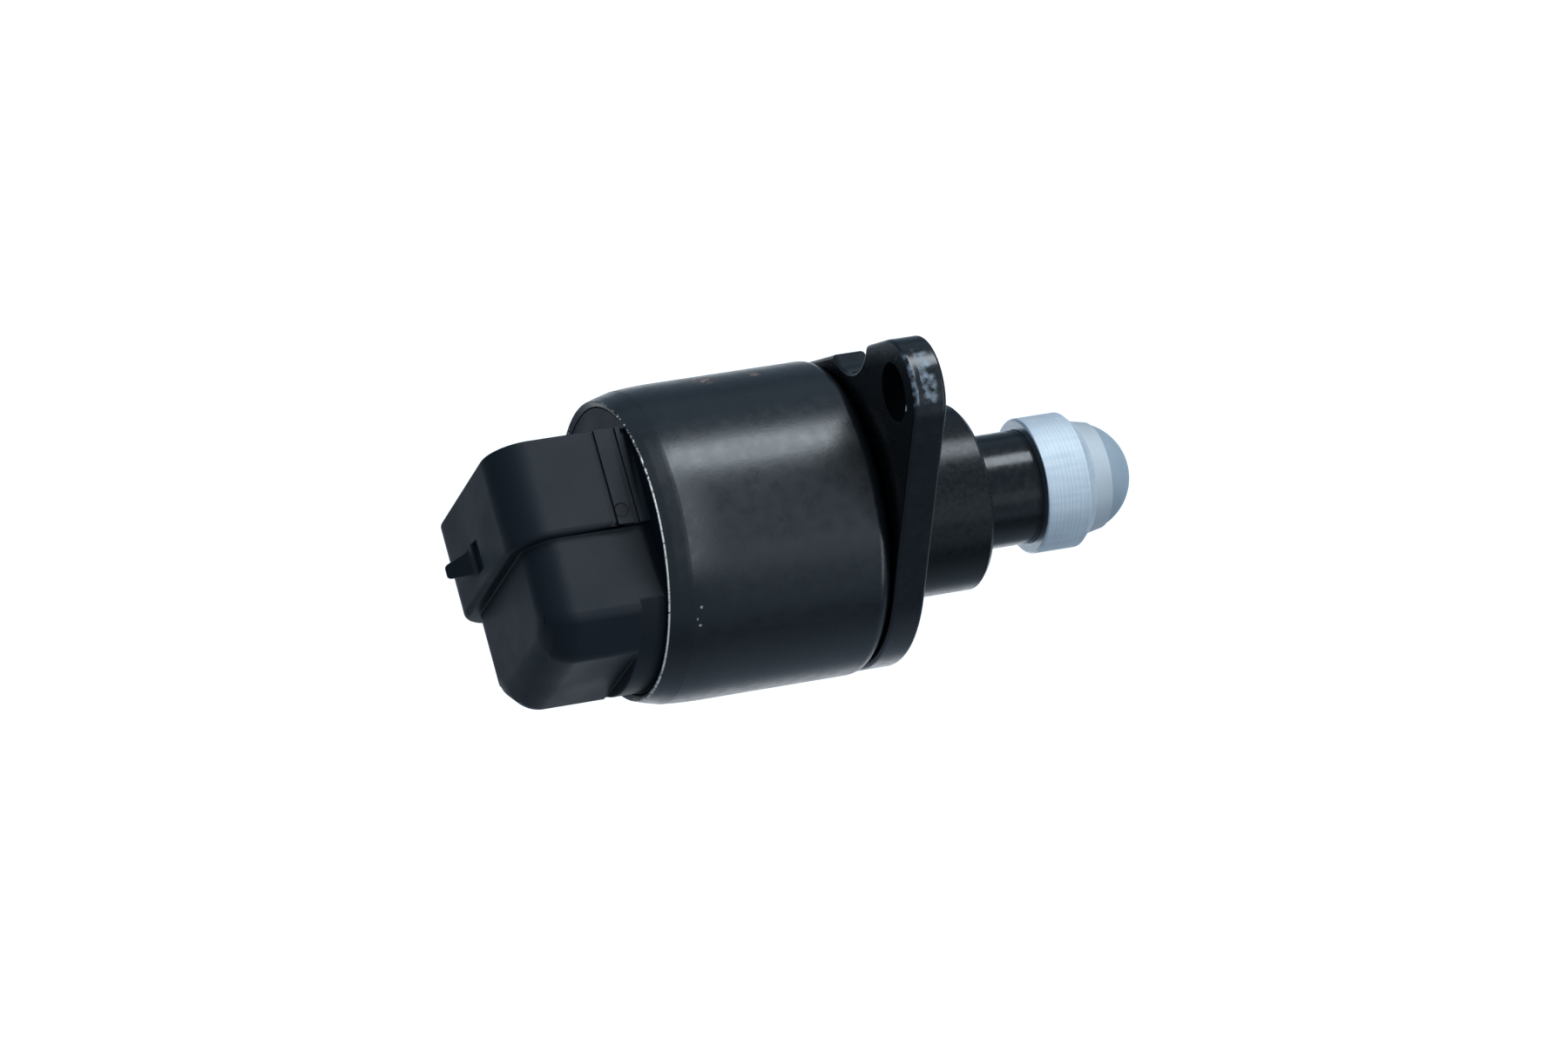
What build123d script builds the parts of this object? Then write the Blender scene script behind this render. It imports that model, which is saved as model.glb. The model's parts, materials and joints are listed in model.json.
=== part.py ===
"""Idle air control valve: a can-type linear stepper motor that drives a pintle in and out.

Frame: X runs along the pintle towards its tip, Z along the two mounting ears, and the origin is
on the axis, in the flange face that seats on the engine's throttle body.
"""
import os
from math import asin, cos, pi, sin

from build123d import *

# Mounting flange, whose round is a little smaller than the can
FLANGE_T = 3.9
FLANGE_SETBACK = 0.25
HOLE_SPACING = 55.0
EAR_R = 5.9
BOLT_HOLE_D = 6.6
NOTCH_R = 6.5
NOTCH_DEPTH = 2.6
NOTCH_FROM_TANGENT = 13.5

# Drawn steel can, rolled in at the rear over the connector's base disc
CAN_R = 18.0
CAN_WALL = 0.8
CAN_FRONT_BEVEL = 0.7
LIP_DROP = 1.0
LIP_LENGTH = 3.5
SHOULDER_STEPS = 3

# Front housing: a spigot whose collar is let into the flange, and a shank pressed through flange and can
SPIGOT_R = 10.7
SPIGOT_LENGTH = 11.5
SPIGOT_BEVEL = 0.5
SPIGOT_COLLAR = 0.3
SPIGOT_COLLAR_T = 0.8
SHANK_CLEARANCE = 1.1
FRONT_BUSH_SEAT_LENGTH = 3.8

# Pintle: guide tube, turned head and lead screw
TUBE_R = 6.55
TUBE_WALL = 1.2
TUBE_IN_HOUSING = 8.2
TUBE_SHOWING = 7.8
TUBE_SEAT_DEPTH = 1.5
KEY_WIDTH = 2.0
KEY_HEIGHT = 0.85
KEY_LENGTH = 3.0
HEAD_R = 7.81
HEAD_LENGTH = 5.3
HEAD_CONE_LENGTH = 1.3
BAND_REAR_R = 6.6
BAND_LENGTH = 2.2
DOME_R = 6.4
DOME_STEPS = 5
SCREW_R = 2.0
SCREW_PAST_MIDDLE = 2.4
SCREW_SEAT_DEPTH = 4.0
TRAVEL_IN = 7.0
TRAVEL_OUT = 1.0

# Rotor and its bushes
MAGNET_WALL = 2.0
NUT_R = 3.0
NUT_INSET = 0.6
FRONT_BUSH_PROUD = 0.4
REAR_BUSH_R = 5.5
REAR_BUSH_SEAT_LENGTH = 3.0

# Stator: two phases, back to back, drawn with flat sides that line up with the claws
PHASE_LENGTH = 11.1
OUTER_SIDES = 24
INNER_SIDES = 12
SHEET_T = 0.8
AIR_GAP = 0.55
CLAW_COUNT = 6
CLAW_TIP_GAP = 1.0
CLAW_ROOT_WIDTH = 4.0
CLAW_TIP_WIDTH = 2.2
BOBBIN_WALL = 0.8
BOBBIN_GAP = 0.2
COIL_INSET = 0.5
COIL_DEPTH = 3.6

# Connector housing, in its own axes: x as the valve, y towards the plug, z across the shroud
CONNECTOR_TURN = 8.0
DISC_EDGE_T = 0.3
SHROUD_LENGTH = 16.0
SHROUD_WIDTH = 27.0
SHROUD_TOP = 9.8
SHROUD_BOTTOM = -1.7
SHROUD_CORNER_R = 4.5
SHROUD_WALL = 1.5
SOCKET_ROOT_WALL = 2.4
SOCKET_FLOOR_T = 1.2
BODY_END_INSET = 1.7
BODY_SIDE_INSET = 1.0
BODY_BOTTOM = -14.6
BODY_CORNER_R = 3.8
BODY_BEVEL = 4.6
BODY_BEVEL_RISE = 3.3
COLLAR_T = 3.3
LIP_RELIEF = 0.3
STRIP_WIDTH = 2.5
STRIP_FROM_DISC = 1.6
GROOVE_WIDTH = 0.6
GROOVE_DEPTH = 0.3
LATCH_REACH = 2.2
LATCH_LENGTH = 5.1
LATCH_ROOT_WIDTH = 3.4
LATCH_TIP_WIDTH = 1.6
LATCH_TIP_DROP = 0.2
LATCH_ROOT_Z = -1.4
LATCH_TOP = 3.8
LATCH_POCKET_LENGTH = 2.8
LATCH_POCKET_DEPTH = 0.7
PIN_COUNT = 4
PIN_PITCH = 5.0
PIN_WIDTH = 2.0
PIN_T = 0.8
PIN_FROM_END = 6.8
PIN_TOP = 7.0
PIN_TAIL_Y = -7.0

# Clearances
SLIDING_CLEARANCE = 0.03
RUNNING_CLEARANCE = 0.03
SEAT_CLEARANCE = 0.02
FREE_CLEARANCE = 0.1
END_CLEARANCE = 0.2

# Places along the axis, from the flange back to the connector's base disc
can_front = -FLANGE_T
can_floor = can_front - CAN_WALL
stack_middle = can_floor - PHASE_LENGTH
stack_rear = stack_middle - PHASE_LENGTH
shoulder_start = stack_rear - DISC_EDGE_T
can_rear = shoulder_start - LIP_LENGTH

# Places along the axis of the pintle and the rotor
tube_rear = SPIGOT_LENGTH - TUBE_IN_HOUSING
tube_bore_rear = tube_rear - TRAVEL_IN - END_CLEARANCE
housing_rear = tube_bore_rear - FRONT_BUSH_SEAT_LENGTH
head_rear = SPIGOT_LENGTH + TUBE_SHOWING
tube_front = head_rear + TUBE_SEAT_DEPTH
screw_front = tube_front + SCREW_SEAT_DEPTH
screw_rear = stack_middle - SCREW_PAST_MIDDLE
front_bush_rear = housing_rear - FRONT_BUSH_PROUD
magnet_front = front_bush_rear - END_CLEARANCE
magnet_rear = 2 * stack_middle - magnet_front
rear_bush_front = magnet_rear - END_CLEARANCE
rear_bush_rear = stack_rear - REAR_BUSH_SEAT_LENGTH
nut_front = tube_bore_rear - END_CLEARANCE
nut_rear = rear_bush_rear + NUT_INSET

# The can's rear shoulder: an arc tangent to the side that ends at the lip, drawn in a few steps
can_bore_r = CAN_R - CAN_WALL
shoulder_r = (LIP_LENGTH**2 + LIP_DROP**2) / (2 * LIP_DROP)
shoulder_turn = asin(LIP_LENGTH / shoulder_r)
shoulder_turns = [shoulder_turn * step / SHOULDER_STEPS for step in range(SHOULDER_STEPS + 1)]
shoulder = [
    (shoulder_start - shoulder_r * sin(turn), CAN_R - shoulder_r * (1 - cos(turn))) for turn in shoulder_turns
]
inner_shoulder_r = shoulder_r - CAN_WALL
lip_inner_x = shoulder_start - inner_shoulder_r * sin(shoulder_turn)
lip_inner_r = CAN_R - shoulder_r + inner_shoulder_r * cos(shoulder_turn)

# Radii from the can inwards, across the flats: stator, claws, magnet, and the shank that clears the claws
stack_r = (can_bore_r - FREE_CLEARANCE) * cos(pi / OUTER_SIDES)
bobbin_flange_r = stack_r - SHEET_T - BOBBIN_GAP
coil_r = bobbin_flange_r - COIL_INSET
coil_bore_r = coil_r - COIL_DEPTH
bobbin_core_r = coil_bore_r - SEAT_CLEARANCE
bobbin_bore_r = bobbin_core_r - BOBBIN_WALL
claw_bore_r = bobbin_bore_r - FREE_CLEARANCE - SHEET_T
magnet_r = claw_bore_r - AIR_GAP
magnet_bore_r = magnet_r - MAGNET_WALL
shank_r = claw_bore_r - SHANK_CLEARANCE
tube_bore_r = TUBE_R + SLIDING_CLEARANCE

# The tangent edges between the flange's disc and its ears, with the notch in one of them
flange_r = CAN_R - FLANGE_SETBACK
ear_centre = HOLE_SPACING / 2
edge_tilt = asin((flange_r - EAR_R) / ear_centre)
notch_reach = flange_r + NOTCH_R - NOTCH_DEPTH
notch_y = notch_reach * cos(edge_tilt) - NOTCH_FROM_TANGENT * sin(edge_tilt)
notch_z = notch_reach * sin(edge_tilt) + NOTCH_FROM_TANGENT * cos(edge_tilt)
spigot_collar_r = SPIGOT_R + SPIGOT_COLLAR

os.makedirs("parts", exist_ok=True)


def across(x):
    """The plane across the axis at x, with Y to its right and Z up."""
    return Plane.YZ.offset(x)


def flat_sided(flat_r, sides, mode=Mode.ADD):
    """A regular outline given by the radius of its flats, one of which faces Z."""
    RegularPolygon(flat_r, sides, major_radius=False, rotation=180 / sides, mode=mode)


def ring(start, end, outer_r, bore_r, bore_sides, mode=Mode.ADD):
    """A flat-sided ring about the axis, between two places along it."""
    with BuildSketch(across(min(start, end))) as section:
        flat_sided(outer_r, OUTER_SIDES)
        flat_sided(bore_r, bore_sides, Mode.SUBTRACT)
    extrude(section.sketch, amount=abs(end - start), mode=mode)


with BuildPart() as mounting_flange:
    with BuildSketch(across(-FLANGE_T)):
        Circle(flange_r)
        with Locations((0, ear_centre), (0, -ear_centre)):
            Circle(EAR_R)
        make_hull()
        with Locations((notch_y, notch_z)):
            Circle(NOTCH_R, mode=Mode.SUBTRACT)
    extrude(amount=FLANGE_T)
    with BuildSketch(across(-FLANGE_T)):
        Circle(shank_r + SEAT_CLEARANCE)
        with Locations((0, ear_centre), (0, -ear_centre)):
            Circle(BOLT_HOLE_D / 2)
    extrude(amount=FLANGE_T, mode=Mode.SUBTRACT)
    with BuildSketch(across(-SPIGOT_COLLAR_T)):
        Circle(spigot_collar_r + SEAT_CLEARANCE)
    extrude(amount=SPIGOT_COLLAR_T, mode=Mode.SUBTRACT)
mounting_flange.part.label = "mounting_flange"
export_step(mounting_flange.part, "parts/mounting_flange.step")

with BuildPart() as can:
    with BuildSketch():
        with BuildLine():
            Polyline(
                (can_front, shank_r + SEAT_CLEARANCE),
                (can_front, CAN_R - CAN_FRONT_BEVEL),
                (can_front - CAN_FRONT_BEVEL, CAN_R),
                *shoulder,
                (lip_inner_x, lip_inner_r),
                (shoulder_start, can_bore_r),
                (can_floor, can_bore_r),
                (can_floor, shank_r + SEAT_CLEARANCE),
                close=True,
            )
        make_face()
    revolve(axis=Axis.X)
can.part.label = "can"
export_step(can.part, "parts/can.step")

with BuildPart() as front_housing:
    key_r = TUBE_R + KEY_HEIGHT
    keyway_front = tube_rear + KEY_LENGTH + TRAVEL_OUT + END_CLEARANCE
    with BuildSketch():
        with BuildLine():
            Polyline(
                (SPIGOT_LENGTH, tube_bore_r),
                (SPIGOT_LENGTH, SPIGOT_R - SPIGOT_BEVEL),
                (SPIGOT_LENGTH - SPIGOT_BEVEL, SPIGOT_R),
                (0, SPIGOT_R),
                (0, spigot_collar_r),
                (-SPIGOT_COLLAR_T, spigot_collar_r),
                (-SPIGOT_COLLAR_T, shank_r),
                (housing_rear, shank_r),
                (housing_rear, tube_bore_r),
                close=True,
            )
        make_face()
    revolve(axis=Axis.X)
    with BuildSketch(across(housing_rear)):
        Rectangle(2 * (key_r + FREE_CLEARANCE), KEY_WIDTH + 2 * FREE_CLEARANCE)
    extrude(amount=keyway_front - housing_rear, mode=Mode.SUBTRACT)
front_housing.part.label = "front_housing"
export_step(front_housing.part, "parts/front_housing.step")

with BuildPart() as guide_tube:
    with BuildSketch(across(tube_rear)):
        Rectangle(2 * key_r, KEY_WIDTH)
    extrude(amount=KEY_LENGTH)
    with BuildSketch(across(tube_rear)):
        Circle(TUBE_R)
    extrude(amount=tube_front - tube_rear)
    with BuildSketch(across(tube_rear)):
        Circle(TUBE_R - TUBE_WALL)
    extrude(amount=tube_front - tube_rear, mode=Mode.SUBTRACT)
guide_tube.part.label = "guide_tube"
export_step(guide_tube.part, "parts/guide_tube.step")

with BuildPart() as pintle_head:
    cone_rear = head_rear + HEAD_LENGTH
    cone_front = cone_rear + HEAD_CONE_LENGTH
    dome_start = asin(BAND_LENGTH / DOME_R)
    dome_turns = [dome_start + (pi / 2 - dome_start) * step / DOME_STEPS for step in range(DOME_STEPS)]
    dome = [(cone_front + DOME_R * sin(turn), DOME_R * cos(turn)) for turn in dome_turns]
    with BuildSketch():
        with BuildLine():
            Polyline(
                (screw_front, 0),
                (screw_front, SCREW_R + SEAT_CLEARANCE),
                (tube_front, SCREW_R + SEAT_CLEARANCE),
                (tube_front, TUBE_R + SEAT_CLEARANCE),
                (head_rear, TUBE_R + SEAT_CLEARANCE),
                (head_rear, HEAD_R),
                (cone_rear, HEAD_R),
                (cone_front, BAND_REAR_R),
                *dome,
                (cone_front + DOME_R, 0),
                close=True,
            )
        make_face()
    revolve(axis=Axis.X)
pintle_head.part.label = "pintle_head"
export_step(pintle_head.part, "parts/pintle_head.step")

with BuildPart() as lead_screw:
    with BuildSketch(across(screw_rear)):
        Circle(SCREW_R)
    extrude(amount=screw_front - screw_rear)
lead_screw.part.label = "lead_screw"
export_step(lead_screw.part, "parts/lead_screw.step")

with BuildPart() as rotor_magnet:
    with BuildSketch(across(magnet_rear)):
        Circle(magnet_r)
        flat_sided(magnet_bore_r, INNER_SIDES, Mode.SUBTRACT)
    extrude(amount=magnet_front - magnet_rear)
rotor_magnet.part.label = "rotor_magnet"
export_step(rotor_magnet.part, "parts/rotor_magnet.step")

with BuildPart() as rotor_hub:
    with BuildSketch(across(magnet_rear)):
        flat_sided(magnet_bore_r - SEAT_CLEARANCE, INNER_SIDES)
        Circle(NUT_R + SEAT_CLEARANCE, mode=Mode.SUBTRACT)
    extrude(amount=magnet_front - magnet_rear)
rotor_hub.part.label = "rotor_hub"
export_step(rotor_hub.part, "parts/rotor_hub.step")

# The drive nut is a long sleeve, and its two ends are the rotor's journals
with BuildPart() as drive_nut:
    with BuildSketch(across(nut_rear)):
        Circle(NUT_R)
        Circle(SCREW_R + RUNNING_CLEARANCE, mode=Mode.SUBTRACT)
    extrude(amount=nut_front - nut_rear)
drive_nut.part.label = "drive_nut"
export_step(drive_nut.part, "parts/drive_nut.step")

with BuildPart() as front_bush:
    with BuildSketch(across(front_bush_rear)):
        Circle(tube_bore_r - SEAT_CLEARANCE)
        Circle(NUT_R + RUNNING_CLEARANCE, mode=Mode.SUBTRACT)
    extrude(amount=tube_bore_rear - front_bush_rear)
front_bush.part.label = "front_bush"
export_step(front_bush.part, "parts/front_bush.step")

with BuildPart() as rear_bush:
    with BuildSketch(across(rear_bush_rear)):
        Circle(REAR_BUSH_R)
        Circle(NUT_R + RUNNING_CLEARANCE, mode=Mode.SUBTRACT)
    extrude(amount=rear_bush_front - rear_bush_rear)
rear_bush.part.label = "rear_bush"
export_step(rear_bush.part, "parts/rear_bush.step")

claw_length = PHASE_LENGTH - 2 * SHEET_T - CLAW_TIP_GAP


def claws(root, direction, first_angle):
    """A ring of flat tapered claws that stand on the plate face at root."""
    with BuildPart() as claw:
        with BuildSketch(Plane.XY.offset(claw_bore_r)):
            with BuildLine():
                Polyline(
                    (root, -CLAW_ROOT_WIDTH / 2),
                    (root + direction * claw_length, -CLAW_TIP_WIDTH / 2),
                    (root + direction * claw_length, CLAW_TIP_WIDTH / 2),
                    (root, CLAW_ROOT_WIDTH / 2),
                    close=True,
                )
            make_face()
        extrude(amount=SHEET_T)
    spacing = 360 / CLAW_COUNT
    return [claw.part.rotate(Axis.X, first_angle + spacing * index) for index in range(CLAW_COUNT)]


# Each phase has a cup and a pole plate with interleaved claws, and a wound bobbin between them.
# The outward direction is +X for the front phase and -X for the rear one.
for phase, outward in (("front", 1), ("rear", -1)):
    outer_face = stack_middle + outward * PHASE_LENGTH
    cup_floor = outer_face - outward * SHEET_T
    plate_face = stack_middle + outward * SHEET_T
    coil_outer_end = cup_floor - outward * BOBBIN_WALL
    coil_inner_end = plate_face + outward * BOBBIN_WALL
    cup_claws = claws(cup_floor, -outward, 0)
    plate_claws = claws(plate_face, outward, 180 / CLAW_COUNT)

    with BuildPart() as stator_cup:
        ring(outer_face, cup_floor, stack_r, claw_bore_r, INNER_SIDES)
        ring(cup_floor, plate_face, stack_r, stack_r - SHEET_T, OUTER_SIDES)
        add(cup_claws)
    stator_cup.part.label = f"{phase}_stator_cup"
    export_step(stator_cup.part, f"parts/{phase}_stator_cup.step")

    with BuildPart() as pole_plate:
        ring(stack_middle, plate_face, stack_r, claw_bore_r, INNER_SIDES)
        add(plate_claws)
    pole_plate.part.label = f"{phase}_pole_plate"
    export_step(pole_plate.part, f"parts/{phase}_pole_plate.step")

    with BuildPart() as bobbin:
        ring(cup_floor, plate_face, bobbin_flange_r, bobbin_bore_r, INNER_SIDES)
        ring(coil_outer_end, coil_inner_end, stack_r, bobbin_core_r, INNER_SIDES, Mode.SUBTRACT)
    bobbin.part.label = f"{phase}_bobbin"
    export_step(bobbin.part, f"parts/{phase}_bobbin.step")

    with BuildPart() as coil:
        ring(
            coil_outer_end - outward * FREE_CLEARANCE,
            coil_inner_end + outward * FREE_CLEARANCE,
            coil_r, coil_bore_r, INNER_SIDES,
        )
    coil.part.label = f"{phase}_coil"
    export_step(coil.part, f"parts/{phase}_coil.step")

# The connector housing is modelled square to its own axes and then turned about the valve's axis.
disc_rear = lip_inner_x
disc_rear_r = lip_inner_r - FREE_CLEARANCE
collar_r = disc_rear_r - FREE_CLEARANCE
collar_rear = disc_rear - COLLAR_T
shroud_end = disc_rear - SHROUD_LENGTH
shroud_middle = (disc_rear + shroud_end) / 2
body_end = shroud_end + BODY_END_INSET
body_half_width = SHROUD_WIDTH / 2 - BODY_SIDE_INSET
socket_floor = SHROUD_BOTTOM + SOCKET_FLOOR_T
socket_front = disc_rear - SOCKET_ROOT_WALL
socket_rear = shroud_end + SHROUD_WALL
latch_bottom = LATCH_TOP - LATCH_ROOT_WIDTH
latch_tip_top = LATCH_TOP - LATCH_TIP_DROP
latch_tip_z = LATCH_ROOT_Z - LATCH_LENGTH
latch_end = shroud_end - LATCH_REACH
latch_floor = shroud_end + LATCH_POCKET_DEPTH
pin_x = shroud_end + PIN_FROM_END
pin_tail_front = stack_rear - FREE_CLEARANCE
pin_places = [PIN_PITCH * (index - (PIN_COUNT - 1) / 2) for index in range(PIN_COUNT)]


def level(y):
    """The plane of constant y that faces the plug, with Z to its right and X up."""
    return Plane(origin=(0, y, 0), x_dir=(0, 0, 1), z_dir=(0, 1, 0))


def pin_outline(grow=0.0):
    """A terminal: a blade up into the socket and a tail forward to the coils."""
    half_t = PIN_T / 2 + grow
    Polyline(
        (pin_x - half_t, PIN_TOP),
        (pin_x + half_t, PIN_TOP),
        (pin_x + half_t, PIN_TAIL_Y + half_t),
        (pin_tail_front, PIN_TAIL_Y + half_t),
        (pin_tail_front, PIN_TAIL_Y - half_t),
        (pin_x - half_t, PIN_TAIL_Y - half_t),
        close=True,
    )


# Lower half of the connector: the closed body that holds the bent terminals
with BuildPart() as lower_body:
    with BuildSketch(level(BODY_BOTTOM)):
        with Locations((0, (disc_rear + body_end) / 2)):
            Rectangle(2 * body_half_width, disc_rear - body_end)
    extrude(amount=SHROUD_BOTTOM - BODY_BOTTOM)
    bottom_sides = lower_body.edges().filter_by(Axis.X).group_by(Axis.Y)[0]
    bottom = lower_body.faces().sort_by(Axis.Y)[0]
    chamfer(bottom_sides, BODY_BEVEL, BODY_BEVEL_RISE, reference=bottom)
    end_edges = lower_body.faces().sort_by(Axis.X)[0].edges().sort_by(Axis.Y)
    fillet(end_edges[:-1], BODY_CORNER_R)

# Latch of the connector: a tapered tongue that rises along the end face from root to tip
with BuildPart() as latch:
    with BuildSketch(across(latch_end)):
        with BuildLine():
            Polyline(
                (LATCH_TOP, LATCH_ROOT_Z),
                (latch_tip_top, latch_tip_z),
                (latch_tip_top - LATCH_TIP_WIDTH, latch_tip_z),
                (latch_bottom, LATCH_ROOT_Z),
                close=True,
            )
        make_face()
    extrude(amount=latch_floor - latch_end)
    with BuildSketch(level(latch_bottom)):
        with BuildLine():
            Polyline(
                (LATCH_ROOT_Z, latch_floor),
                (latch_tip_z, latch_floor),
                (latch_tip_z, latch_end),
                close=True,
            )
        make_face()
    extrude(amount=LATCH_ROOT_WIDTH, mode=Mode.INTERSECT)

with BuildPart() as connector_housing:
    # Upper half: the shroud round the socket, open towards the plug
    with BuildSketch(level(SHROUD_BOTTOM)):
        with Locations((0, shroud_middle)):
            Rectangle(SHROUD_WIDTH, SHROUD_LENGTH)
    extrude(amount=SHROUD_TOP - SHROUD_BOTTOM)
    shroud_corners = connector_housing.edges().filter_by(Axis.Y).group_by(Axis.X)[0]
    fillet(shroud_corners, SHROUD_CORNER_R)
    add(lower_body.part)
    # Room for the can's lip all round, and further back for the round collar below the shroud
    for relief_rear, lowest_y, highest_y in (
        (can_rear - LIP_RELIEF, -CAN_R, CAN_R),
        (collar_rear, -CAN_R, SHROUD_BOTTOM),
    ):
        with BuildSketch(across(relief_rear)):
            with Locations(((lowest_y + highest_y) / 2, 0)):
                Rectangle(highest_y - lowest_y, 2 * CAN_R)
            Circle(collar_r, mode=Mode.SUBTRACT)
        extrude(amount=disc_rear - relief_rear, mode=Mode.SUBTRACT)
    # Collar: a round step at the root of the lower body
    with BuildSketch(across(collar_rear)):
        Circle(collar_r)
        with Locations(((SHROUD_BOTTOM - CAN_R) / 2, 0)):
            Rectangle(CAN_R + SHROUD_BOTTOM, 2 * body_half_width, mode=Mode.INTERSECT)
    extrude(amount=COLLAR_T)
    # Base disc: clamped between the stator and the can's rolled lip
    with BuildSketch():
        with BuildLine():
            Polyline(
                (stack_rear, 0),
                (stack_rear, can_bore_r - FREE_CLEARANCE),
                (shoulder_start, can_bore_r - FREE_CLEARANCE),
                (disc_rear, disc_rear_r),
                (disc_rear, 0),
                close=True,
            )
        make_face()
    revolve(axis=Axis.X)
    # Latch, with the pocket beside its root
    with BuildSketch(level(latch_bottom)):
        with BuildLine():
            Polyline(
                (LATCH_ROOT_Z + LATCH_POCKET_LENGTH, shroud_end),
                (LATCH_ROOT_Z, latch_floor),
                (LATCH_ROOT_Z, shroud_end),
                close=True,
            )
        make_face()
    extrude(amount=LATCH_ROOT_WIDTH, mode=Mode.SUBTRACT)
    add(latch.part)
    # Two grooves in the side leave a strip beside the can
    for groove_x in (disc_rear - STRIP_FROM_DISC, disc_rear - STRIP_FROM_DISC - STRIP_WIDTH):
        with BuildSketch(level(SHROUD_BOTTOM)):
            with Locations((SHROUD_WIDTH / 2, groove_x)):
                Rectangle(2 * GROOVE_DEPTH, GROOVE_WIDTH)
        extrude(amount=SHROUD_TOP - SHROUD_BOTTOM, mode=Mode.SUBTRACT)
    # Socket
    with BuildSketch(level(socket_floor)):
        with Locations((0, (socket_front + socket_rear) / 2)):
            RectangleRounded(
                SHROUD_WIDTH - 2 * SHROUD_WALL, socket_front - socket_rear, SHROUD_CORNER_R - SHROUD_WALL
            )
    extrude(amount=SHROUD_TOP - socket_floor, mode=Mode.SUBTRACT)
    # Seat of the rear bush
    with BuildSketch(across(rear_bush_rear)):
        Circle(REAR_BUSH_R + SEAT_CLEARANCE)
    extrude(amount=REAR_BUSH_SEAT_LENGTH, mode=Mode.SUBTRACT)
    # Slots of the terminals
    for pin_z in pin_places:
        with BuildSketch(Plane.XY.offset(pin_z - PIN_WIDTH / 2 - SEAT_CLEARANCE)):
            with BuildLine():
                pin_outline(SEAT_CLEARANCE)
            make_face()
        extrude(amount=PIN_WIDTH + 2 * SEAT_CLEARANCE, mode=Mode.SUBTRACT)
turned_housing = connector_housing.part.rotate(Axis.X, CONNECTOR_TURN)
turned_housing.label = "connector_housing"
export_step(turned_housing, "parts/connector_housing.step")

for number, pin_z in enumerate(pin_places, start=1):
    with BuildPart() as terminal:
        with BuildSketch(Plane.XY.offset(pin_z - PIN_WIDTH / 2)):
            with BuildLine():
                pin_outline()
            make_face()
        extrude(amount=PIN_WIDTH)
    turned_terminal = terminal.part.rotate(Axis.X, CONNECTOR_TURN)
    turned_terminal.label = f"terminal_{number}"
    export_step(turned_terminal, f"parts/terminal_{number}.step")
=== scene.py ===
# %% [markdown]
# # Idle air control valve
#
# The valve is a small stepper motor in a black steel can, with a bolt-on flange, a moulded plug
# connector behind and a bright turned pintle in front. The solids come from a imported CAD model, in
# metres, with X along the pintle and Z along the two bolt ears. This lesson gives each of them the
# surface that the eye expects. The can and the pintle head are made again as lathed surfaces, because
# a pressed or turned edge is never sharp. The flange and the connector are softened copies of their
# solids. Every other piece keeps its solid and gets a finish of its own.

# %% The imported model
import json

import bmesh
import bpy
import numpy as np
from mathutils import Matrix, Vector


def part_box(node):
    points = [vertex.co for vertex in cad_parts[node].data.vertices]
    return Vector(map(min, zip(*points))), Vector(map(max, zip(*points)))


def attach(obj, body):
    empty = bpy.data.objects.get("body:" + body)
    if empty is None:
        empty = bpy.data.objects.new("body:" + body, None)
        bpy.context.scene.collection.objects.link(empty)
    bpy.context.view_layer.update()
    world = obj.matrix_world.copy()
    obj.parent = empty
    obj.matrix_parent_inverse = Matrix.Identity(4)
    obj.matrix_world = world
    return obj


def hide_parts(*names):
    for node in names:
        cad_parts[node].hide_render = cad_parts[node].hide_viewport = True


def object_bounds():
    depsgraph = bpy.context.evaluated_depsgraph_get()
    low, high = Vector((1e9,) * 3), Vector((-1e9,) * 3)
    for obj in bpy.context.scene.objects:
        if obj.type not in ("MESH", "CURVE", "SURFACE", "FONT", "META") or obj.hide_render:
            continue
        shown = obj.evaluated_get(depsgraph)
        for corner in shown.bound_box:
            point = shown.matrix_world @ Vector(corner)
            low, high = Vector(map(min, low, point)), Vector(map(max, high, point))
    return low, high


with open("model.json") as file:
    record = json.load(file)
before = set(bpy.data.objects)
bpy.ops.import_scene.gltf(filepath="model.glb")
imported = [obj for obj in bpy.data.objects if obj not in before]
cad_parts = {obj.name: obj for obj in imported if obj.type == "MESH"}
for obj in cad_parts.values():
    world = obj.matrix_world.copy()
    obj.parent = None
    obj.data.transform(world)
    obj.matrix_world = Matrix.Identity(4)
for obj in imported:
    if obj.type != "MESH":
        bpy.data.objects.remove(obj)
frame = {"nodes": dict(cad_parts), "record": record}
cad_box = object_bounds()
MM = 0.001
print("CAD box in mm", np.round(np.array(cad_box) / MM, 1).tolist())

# %% [markdown]
# ## Camera
#
# A long lens far away keeps the can's sides nearly parallel, as in a catalogue photograph. The
# direction could be typed in as Euler angles, but two angles and a roll, like the head of a tripod,
# are easier to adjust. The roll tips the frame so that the pintle points right and a little down.
# The aim is a point beside the origin that puts the valve in the middle of the picture.

# %% Camera
CAMERA_HEADING = np.radians(50.54)
CAMERA_DIP = np.radians(56.75)
CAMERA_ROLL = np.radians(25.47)
CAMERA_DISTANCE = 850 * MM
CAMERA_AIM_RIGHT = -9.21 * MM
CAMERA_AIM_UP = -1.27 * MM
CAMERA_LENS = 172.0
CAMERA_SENSOR = 36.0

forward = np.array([
    np.cos(CAMERA_DIP) * np.cos(CAMERA_HEADING),
    np.cos(CAMERA_DIP) * np.sin(CAMERA_HEADING),
    -np.sin(CAMERA_DIP),
])
level_right = np.cross(forward, (0, 0, 1))
level_right /= np.linalg.norm(level_right)
level_up = np.cross(level_right, forward)
right = np.cos(CAMERA_ROLL) * level_right + np.sin(CAMERA_ROLL) * level_up
up = np.cross(right, forward)
camera_place = CAMERA_AIM_RIGHT * right + CAMERA_AIM_UP * up - CAMERA_DISTANCE * forward


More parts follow.
